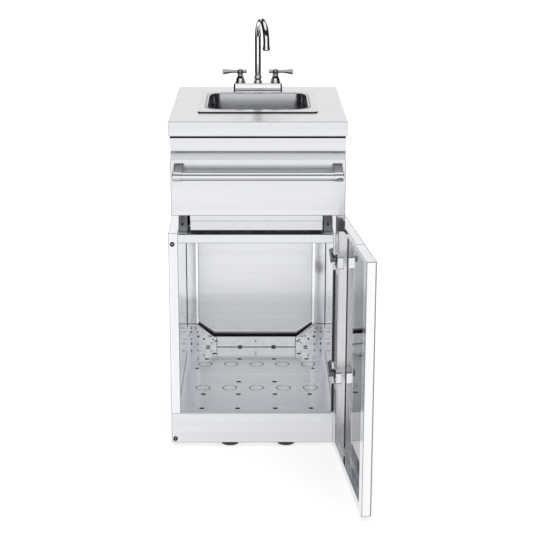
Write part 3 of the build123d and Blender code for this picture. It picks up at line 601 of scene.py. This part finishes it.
# ---------------------------------------------------------------- sink
def sink():
    """Drop-in bowl: rolled outer rim, flat deck, rounded mouth, tapered walls and a rounded foot."""
    low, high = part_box("sink_bowl")
    strainer = middle("strainer_body")
    centre = (low + high) / 2
    width, depth = (high.x - low.x) / MM, (high.y - low.y) / MM
    top = high.z
    ledge = (TOP_HI.z - low.z) / MM
    rim = (top - TOP_HI.z) / MM
    roll, corner = 2.4, 14
    rings = []

    def ring(w, d, r, z, cy):
        at = Vector((centre.x, cy, top + z * MM))
        rings.append(rounded_box_ring(at, X, Y, w * MM, d * MM, r * MM, 12))

    for angle in (0, *QUARTER):
        t = math.radians(angle)
        inset = roll * (1 - math.cos(t))
        ring(width - 2 * inset, depth - 2 * inset, corner - inset, -roll + roll * math.sin(t), centre.y)
    if rim > roll:
        foot_of_rim = Vector((centre.x, centre.y, TOP_HI.z + 0.3 * MM))
        rings.insert(0, rounded_box_ring(foot_of_rim, X, Y, width * MM, depth * MM, corner * MM, 12))

    # the pressed step round the mouth, two of its rings painted dark as shade in the crease: how much wider,
    # rounder and lower than the mouth
    bowl_y = strainer.y
    mouth_w, mouth_d, mouth_r = 272.0, 262.0, 40.0
    painted_shade_rings = (len(rings) + 2, len(rings) + 3)
    for wider, rounder, z in ((26, 0, -0.5), (17, 2, -1.0), (13, 2, -1.7), (9, 4, -1.0), (5, 2.5, -0.7)):
        ring(mouth_w + wider, mouth_d + wider, mouth_r + rounder, z, bowl_y)
    lip, lip_top = 2.5, 0.7
    for angle in (12, 25, 40, 55, 70, 86):
        t = math.radians(angle)
        out = lip * (1 - math.sin(t))
        z = -lip_top - lip * (1 - math.cos(t))
        ring(mouth_w + 2 * out, mouth_d + 2 * out, mouth_r + out, z, bowl_y)

    # tapered walls and the rounded foot down to the drain
    slope = math.tan(math.radians(4))
    foot = 27.0
    wall_end = ledge + rim - foot - 1.2
    for z in (40, 80, wall_end):
        inset = slope * z
        ring(mouth_w - 2 * inset, mouth_d - 2 * inset, mouth_r - inset, -z, bowl_y)
    for angle in QUARTER:
        t = math.radians(angle)
        inset = slope * wall_end + foot * (1 - math.cos(t)) * 0.93
        z = wall_end + foot * math.sin(t)
        ring(mouth_w - 2 * inset, mouth_d - 2 * inset, mouth_r - inset, -z, bowl_y)
    deep = wall_end + foot
    for inset in (52, 80):
        ring(mouth_w - 2 * inset, mouth_d - 2 * inset, max(mouth_r - inset * 0.5, 8), -deep, bowl_y)
    drain_radius = 28
    hole = []
    for point in rings[-1]:
        away = Vector((point.x - strainer.x, point.y - bowl_y, 0)).normalized()
        hole.append(Vector((strainer.x, bowl_y, top - deep * MM)) + away * drain_radius * MM)
    rings.append(hole)

    points, faces = skin(rings, cap_start=False, cap_end=False)
    obj = piece("sink_basin", [(points, faces)], "bowl", "unit", ["sink_bowl"], 50)
    # painted shade in the crease round the mouth: depth 0 on those rings, 1 elsewhere
    crease_shade = obj.data.attributes.new("depth", "FLOAT", "POINT")
    for vertex in range(len(points)):
        crease_shade.data[vertex].value = 0.0 if vertex // len(rings[0]) in painted_shade_rings else 1.0
    wall = obj.modifiers.new("sheet", "SOLIDIFY")
    wall.thickness = 1.1 * MM
    wall.offset = -1

    # the bead of sealant under the front rim, thinner at its ends
    profile = ((0.3, 0.05), (-3.2, 0.05), (-3.8, 1.0), (-3.2, 2.2), (-1.2, 2.9), (0.3, 2.9))
    rings = []
    for along, size in ((-1, 0.35), (-0.985, 0.8), (-0.93, 1), (0.93, 1), (0.985, 0.8), (1, 0.35)):
        x = centre.x + along * (width / 2 - 3) * MM
        rings.append([Vector((x, low.y + (0.6 + size * y) * MM, TOP_HI.z + (0.05 + size * z) * MM))
                      for y, z in profile])
    piece("sink_rim_sealant", [skin(rings)], "rubber", "unit", (), 60)


# ---------------------------------------------------------------- drawer handle
def drawer_handle():
    """The towel-bar handle: a bar, a cap at each end, and two posts that widen towards the drawer."""
    low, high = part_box("handle_bar")
    centre = (low + high) / 2
    half = (high.x - low.x) / 2
    radius = (high.z - low.z) / 2
    bore = radius - 1.5 * MM
    profile = [(bore, -half), (radius, -half), (radius, half), (bore, half)]
    tube = turned(profile, centre, "x", 64, closed=True)
    piece("towel_bar", [tube], "bar", "drawer", ["handle_bar"])

    caps_low, caps_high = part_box("handle_end_caps")
    cap_r = (caps_high.z - caps_low.z) / 2
    roll, chamfer = 2.2 * MM, 0.5 * MM
    caps = []
    for sign in (-1, 1):
        edge = centre.x + sign * half
        outer = caps_high.x if sign > 0 else caps_low.x
        length = abs(outer - edge)
        profile = [(0, 0), (cap_r - chamfer, 0), (cap_r, chamfer), (cap_r, length - roll)]
        for angle in (18, 36, 54, 72, 90):
            t = math.radians(angle)
            profile.append((cap_r - roll + roll * math.cos(t), length - roll + roll * math.sin(t)))
        profile.append((0, length))
        at = Vector((edge, centre.y, centre.z))
        caps.append(turned([(r, sign * along) for r, along in profile], at, "x", 64))
    piece("towel_bar_caps", caps, "bar", "drawer", ["handle_end_caps"], 28)

    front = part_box("drawer_front")[0].y
    # share of the way to the bar, width, height and lift of each section
    sections = ((0, 27, 33, 9), (0.05, 26, 32, 9), (0.3, 25.4, 29, 7.5), (0.6, 25, 26, 5),
                (0.85, 25, 23.5, 2), (1.0, 25, 22, 0))
    into_bar = 6 * MM
    posts = []
    for sign in (-1, 1):
        x = centre.x + sign * (half + (caps_high.x - caps_low.x) / 4 - half / 2 - 2.5 * MM)
        rings = []
        for share, wide, tall, lift in sections:
            at = Vector((x, front + (centre.y + into_bar - front) * share, centre.z + lift * MM))
            rings.append(rounded_box_ring(at, X, Z, wide * MM, tall * MM, 4 * MM, 6))
        posts.append(skin(rings))
    piece("towel_bar_posts", posts, "post", "drawer", ["handle_posts"], 40)


# ---------------------------------------------------------------- cabinet details
def prism(outline, u, v, start, depth):
    """A flat outline in the plane of u and v, extruded by depth."""
    ring = [start + u * a + v * b for a, b in outline]
    return skin([ring, [point + depth for point in ring]])


def grown(outline, by):
    """A convex outline with its corners moved away from its middle, so its edges move by about by."""
    cx = sum(a for a, b in outline) / len(outline)
    cy = sum(b for a, b in outline) / len(outline)
    out = []
    for a, b in outline:
        away = Vector((a - cx, b - cy)).normalized() * by * 1.4
        out.append((a + away.x, b + away.y))
    return out


def cutout():
    """The folded edge of the back panel's cut-out: flat sides and a rolled foot, with painted shade darkest
    at its lip.
    """
    low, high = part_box("cutout_flange")
    start_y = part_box("inner_back_panel")[0].y - 0.3 * MM
    steps = 12
    knee_height, knee_reach = 43 * MM, 53 * MM
    curves = [[], [], [], []]
    for k in range(steps + 1):
        t = math.radians(90 * k / steps)
        inset = 4.5 * MM * (1 - math.cos(t))
        rise = 15.0 * MM * (1 - math.cos(t)) + 1.6 * MM
        y = start_y + (high.y - start_y) * math.sin(t)
        x0, x1, foot = low.x + inset, high.x - inset, low.z + rise
        knee = low.z + knee_height + rise * 0.45
        reach = knee_reach - inset * 0.4
        for curve, x, z in zip(curves, (x0, x0 + reach, x1 - reach, x1), (knee, foot, foot, knee)):
            curve.append(Vector((x, y, z)))
    under = Vector((0, 0.8 * MM, -0.8 * MM))
    rings = [curve + [point + under for point in reversed(curve)] for curve in curves]
    obj = piece("cutout_foot_roll", [skin(rings)], "roll", "unit", ["cutout_flange"], 35)
    # painted shade: depth 0 at the lip, rising to 1 at the back of the roll
    shade = obj.data.attributes.new("depth", "FLOAT", "POINT")
    per_ring = 2 * (steps + 1)
    for vertex in range(len(obj.data.vertices)):
        place = vertex % per_ring
        shade.data[vertex].value = min(place, per_ring - 1 - place) / steps

    returns = []
    outline = [(0, 0), (6.5 * MM, 0.5 * MM), (6.5 * MM, 1.3 * MM), (0, 0.8 * MM)]
    for x, side in ((low.x, X), (high.x, -X)):
        foot = Vector((x, start_y + 1.0 * MM, low.z + 44 * MM))
        returns.append(prism(outline, side, Y, foot, Z * (high.z - foot.z - 1 * MM)))
    piece("cutout_side_returns", returns, "return", "unit", ["cutout_flange"])


# Millimetres from the cabinet's back corners: the gussets' outline, and across, up and radius of each
# rivet head on their faces; then out from the back and up, for the rivets on the cabinet's sides.
GUSSET_SHAPE = ((0, 0), (89, 0), (89, 32), (80, 34), (29, 75), (0, 75))
FACE_RIVETS = ((12, 50, 2.4), (31, 50, 2.4), (12, 27, 2.4), (50, 27, 3.4), (12, 10, 2.4), (31, 10, 2.4),
               (78, 26, 2.4))
SIDE_RIVETS = ((30, 62), (52, 35), (30, 14.5))
SIDE_RIVET_RADIUS = 2.1


def seams():
    """Dark sealant along the cabinet's inside corners and round the gussets, and the gussets' rivets."""
    panel_low, panel_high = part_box("inner_back_panel")
    floor_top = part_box("floor_panel")[1].z
    front = panel_low.y
    beads = []
    width = 1.6 * MM
    for x, s in ((panel_low.x, 1), (panel_high.x, -1)):
        outline = [(0, 0), (s * width, 0), (0, -width)]
        rise = Z * (panel_high.z - floor_top - 2 * MM)
        beads.append(prism(outline, X, Y, Vector((x, front, floor_top)), rise))
    outline = [(0, 0), (0, width), (-width, 0)]
    across = X * (panel_high.x - panel_low.x)
    beads.append(prism(outline, Y, Z, Vector((panel_low.x, front, floor_top)), across))
    piece("corner_sealant", beads, "rubber", "unit")

    gusset_low, gusset_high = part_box("corner_gussets")
    lines, heads = [], []
    for x, s in ((gusset_low.x, 1), (gusset_high.x, -1)):
        outline = [(s * a * MM, b * MM) for a, b in grown(GUSSET_SHAPE, 1.3)]
        lines.append(prism(outline, X, Z, Vector((x, front - 0.45 * MM, floor_top)), Y * (0.4 * MM)))
        for dx, z, radius in FACE_RIVETS:
            at = Vector((x + s * dx * MM, front - 1.0 * MM, floor_top + z * MM))
            heads.append(skin([circle(at - Y * (out * MM), X, Z, share * radius * MM, 20)
                               for share, out in ((0.96, 0), (0.96, 0.8), (0.5, 1.1))]))
        for dy, z in SIDE_RIVETS:
            at = Vector((x + s * 1.0 * MM, front - dy * MM, floor_top + z * MM))
            heads.append(skin([circle(end, Y, Z, SIDE_RIVET_RADIUS * MM, 20)
                               for end in (at, at + X * (s * 0.4 * MM))]))
    piece("gusset_sealant", lines, "rubber", "unit")
    # the rivet heads are real; their near-black finish is painted shade for the holes they sit in
    piece("gusset_rivets", heads, "rivet", "unit")


def under_floor_shadow():
    """Painted shadow under the cabinet floor: a dark pad, so the knock-out rings and slots read dark against
    it.
    """
    low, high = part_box("floor_panel")
    z = high.z - 3.6 * MM
    x0, x1 = low.x + 8 * MM, high.x - 8 * MM
    y0, y1 = low.y + 24 * MM, high.y - 4 * MM
    pad = prism([(x0, y0), (x1, y0), (x1, y1), (x0, y1)], X, Y, Vector((0, 0, z)), Z * (1.6 * MM))
    piece("under_floor_shadow_pad", [pad], "rubber", "unit")


def floor_slot_shadows():
    """Painted shadow in the floor's oblong holes: flat dark pieces, placed by distance from its middle and
    from the front.
    """
    low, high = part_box("floor_panel")
    centre_x = (low.x + high.x) / 2 + 2 * MM
    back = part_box("inner_back_panel")[0].y
    back_depth = 556
    hole_length, hole_width, hole_corner = 13, 8, 3.9
    places = [(side * x, y) for y in (50, 156.5, 448, 545) for side in (-1, 1) for x in (51.5, 150)]
    places += [(side * 51.5, 255) for side in (-1, 1)] + [(side * 128, 497) for side in (-1, 1)]
    slot_shadows = []
    for x, y in places:
        at = Vector((centre_x + x * MM, back + (y - back_depth) * MM, high.z + 0.05 * MM))
        rings = []
        for more, rise in ((1, 0), (0.6, 0.5), (-3, 0.7)):
            rings.append(rounded_box_ring(at + Z * (rise * MM), X, Y, (hole_length + more) * MM,
                                          (hole_width + more) * MM, (hole_corner + more / 2) * MM, 6))
        slot_shadows.append(skin(rings))
    piece("floor_slot_shadows", slot_shadows, "rubber", "unit")


def door_top_shade_block():
    """Painted shade on the door's top edge near its hinge end: a dark block standing there."""
    low, high, turn = door_axes()
    x0, x1 = high[0] - 129 * MM, high[0] - 87 * MM
    y0, y1 = low[1] + 21 * MM, low[1] + 38 * MM
    z0, z1 = high[2] - 12 * MM, high[2] + 13 * MM
    middle_of = Vector(((x0 + x1) / 2, (y0 + y1) / 2, 0))
    corner = 1.5 * MM
    rings = []
    for inset, z in ((0.6, z0), (0, z0 + 0.8 * MM), (0, z1 - 0.6 * MM), (0.7, z1)):
        length, width = x1 - x0 - 2 * inset * MM, y1 - y0 - 2 * inset * MM
        ring = rounded_box_ring(middle_of + Z * z, X, Y, length, width, corner, 4)
        rings.append([turn @ point for point in ring])
    shade_piece = piece("door_top_shade_block", [skin(rings)], "cap", "door")
    shade_piece.visible_glossy = False


def hinge_side_shadow():
    """Painted shadow on the face of the hinge stile: a dark strip, left out round the hinge screws."""
    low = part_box("right_side_panel")[0]
    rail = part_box("top_rail")[0].z
    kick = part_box("kick_panel")[1].z
    section = ((0.2, 0), (0.2, -1.6), (1.2, -2.4), (8.2, -2.4), (9.2, -1.6), (9.2, 0))
    outline = [(x * MM, y * MM) for x, y in section]
    clear, screw_group = 4 * MM, 60 * MM
    heads = sorted(vertex.co.z for vertex in nodes["door_hinge_screws"].data.vertices)
    stops = [kick + clear, heads[0] - clear]
    for below, above in zip(heads, heads[1:]):
        if above - below > screw_group:
            stops += [below + clear, above - clear]
    stops += [heads[-1] + clear, rail - 20 * MM]
    strips = []
    for start, end in zip(stops[::2], stops[1::2]):
        if end > start:
            strips.append(prism(outline, X, Y, Vector((low.x, low.y, start)), Z * (end - start)))
    piece("hinge_side_shadow_strip", strips, "rubber", "unit")


def door_lining():
    """Painted reflection inside the door pan: mirror-bright sheets, the one on the free side darker."""
    low, high, turn = door_axes()
    inner = high[1] + 0.3 * MM
    joint = high[0] - 178 * MM
    margin = 3 * MM
    z0, z1 = low[2] + margin, high[2] - margin
    for name, finish, x0, x1 in (("door_lining_sheet", "painted_dark_mirror", low[0] + margin, joint),
                                 ("door_lining_hinge_side", "painted_bright_mirror", joint, high[0] - margin)):
        corners = ((x0, z0), (x1, z0), (x1, z1), (x0, z1))
        sheet = [[turn @ Vector((x, inner + thick, z)) for x, z in corners] for thick in (0, 0.5 * MM)]
        piece(name, [skin(sheet)], finish, "door")


def door_rail_fold_shade():
    """Painted shade of a fold: a dark strip down the pan's bright sheet, beside the door's hinge-side rail.
    """
    low, high, turn = door_axes()
    x0, x1 = high[0] - 74 * MM, high[0] - 62 * MM
    y0, y1 = high[1] + 0.6 * MM, high[1] + 1.8 * MM
    corners = ((x0, y0), (x1, y0), (x1, y1), (x0, y1))
    ends = [[turn @ Vector((x, y, z)) for x, y in corners] for z in (low[2] + 14 * MM, high[2] - 16 * MM)]
    piece("door_rail_fold_shade", [skin(ends)], "rubber", "door")


def build_details():
    """Every modelled piece, in a fixed order."""
    deck_plate()
    handle_bells()
    levers()
    spout_parts()
    sink()
    drawer_handle()
    cutout()
    seams()
    under_floor_shadow()
    floor_slot_shadows()
    door_top_shade_block()
    hinge_side_shadow()
    door_lining()
    door_rail_fold_shade()


# ---------------------------------------------------------------- stage
FLOOR_GLOW = 0.66
FLOOR_DROP = 0.0005

# directions on the unit sphere where the white overhead, the white horizon and its sides begin and end
OVERHEAD, HORIZON, SIDEWAYS = (0.84, 0.88), (0.48, 0.53), (0.55, 0.65)
SKY_DARK, SKY_WHITE = 0.02, 1.07

SUN_POWER = 1.75
SUN_SPREAD, SUN_TILT = math.radians(70), math.radians(12)

# black cards, in metres from the middle of the worktop's front edge; their heights are from the floor
CARD_ASIDE, CARD_AHEAD, CARD_BEHIND = 1.3, 1.4, 4.0
CARD_FOOT, CARD_TOP = 0.35, 1.7

# the camera stands off from the middle of the worktop's front edge
CAMERA_OFFSET = Vector((0.0033, -3.5874, 0.653))
CAMERA_LENS, CAMERA_SENSOR = 95.93, 36
CAMERA_TILT, CAMERA_PAN, CAMERA_ROLL = math.radians(90 - 16.13), math.radians(-0.31), math.radians(0.06)


def floor():
    """A pale matt floor that glows a little, so that it runs out to white."""
    mat, _, shader = new_material("pale_floor", (0.52, 0.52, 0.52), 0.0, 0.9)
    shader.inputs["Emission Color"].default_value = (1, 1, 1, 1)
    shader.inputs["Emission Strength"].default_value = FLOOR_GLOW
    mesh = bpy.data.meshes.new("studio_floor")
    size = 60
    corners = [(-size, -size, 0), (size, -size, 0), (size, size, 0), (-size, size, 0)]
    mesh.from_pydata(corners, [], [(0, 1, 2, 3)])
    mesh.materials.append(mat)
    obj = bpy.data.objects.new("studio_floor", mesh)
    scene.collection.objects.link(obj)
    obj.location.z = -FLOOR_DROP


def world():
    """White overhead and along the horizon in front and behind, dark between them and to the sides."""
    studio = bpy.data.worlds.new("studio")
    studio.use_nodes = True
    scene.world = studio
    tree = studio.node_tree
    back = tree.nodes["Background"]
    coords = tree.nodes.new("ShaderNodeTexCoord")
    split = tree.nodes.new("ShaderNodeSeparateXYZ")
    tree.links.new(coords.outputs["Generated"], split.inputs["Vector"])
    overhead = ramp(tree, split.outputs["Z"], *OVERHEAD, 0.0, 1.0)
    horizon = ramp(tree, split.outputs["Z"], *HORIZON, 1.0, 0.0)
    sideways = mixed(tree, "ABSOLUTE", split.outputs["X"], 0.0)
    ahead = ramp(tree, sideways, *SIDEWAYS, 1.0, 0.0)
    level = mixed(tree, "MAXIMUM", overhead, mixed(tree, "MULTIPLY", horizon, ahead))
    level = ramp(tree, level, 0.0, 1.0, SKY_DARK, 1.0)
    mix = tree.nodes.new("ShaderNodeMix")
    mix.data_type = "RGBA"
    mix.inputs["A"].default_value = (0, 0, 0, 1)
    mix.inputs["B"].default_value = (SKY_WHITE, SKY_WHITE, SKY_WHITE, 1)
    tree.links.new(level, mix.inputs["Factor"])
    tree.links.new(mix.outputs["Result"], back.inputs["Color"])


def lights():
    """One broad, soft light from overhead, not seen in reflections."""
    sun = bpy.data.lights.new("overhead", "SUN")
    sun.energy = SUN_POWER
    sun.angle = SUN_SPREAD
    obj = bpy.data.objects.new("overhead", sun)
    obj.rotation_euler = (SUN_TILT, 0, 0)
    obj.visible_glossy = False
    scene.collection.objects.link(obj)


def black_cards():
    """Dark cards beside the set, seen only in reflections, that draw the chrome's edges."""
    mat = new_material("black_card", (0.01, 0.01, 0.01), 0.0, 1.0)[0]
    for side in (-1, 1):
        x = TOP_FRONT.x + side * CARD_ASIDE
        y0, y1 = TOP_FRONT.y - CARD_AHEAD, TOP_FRONT.y + CARD_BEHIND
        corners = [(x, y0, CARD_FOOT), (x, y1, CARD_FOOT), (x, y1, CARD_TOP), (x, y0, CARD_TOP)]
        mesh = bpy.data.meshes.new("card")
        mesh.from_pydata(corners, [], [(0, 1, 2, 3)])
        mesh.materials.append(mat)
        obj = bpy.data.objects.new("black_card", mesh)
        scene.collection.objects.link(obj)
        obj.visible_camera = False
        obj.visible_diffuse = False
        obj.visible_shadow = False


def camera():
    """A long lens in front of the set, a little above the worktop."""
    cam = bpy.data.cameras.new("camera")
    cam.sensor_width = CAMERA_SENSOR
    cam.lens = CAMERA_LENS
    cam.clip_end = 200
    obj = bpy.data.objects.new("camera", cam)
    turn = Matrix.Rotation(CAMERA_PAN, 4, "Z") @ Matrix.Rotation(CAMERA_TILT, 4, "X")
    turn = turn @ Matrix.Rotation(CAMERA_ROLL, 4, "Z")
    obj.matrix_world = Matrix.Translation(TOP_FRONT + CAMERA_OFFSET) @ turn
    scene.collection.objects.link(obj)
    scene.camera = obj


scene.view_settings.view_transform = "Standard"
scene.cycles.glossy_bounces = 10
finish_cad_nodes()
build_details()
floor()
world()
lights()
black_cards()
camera()
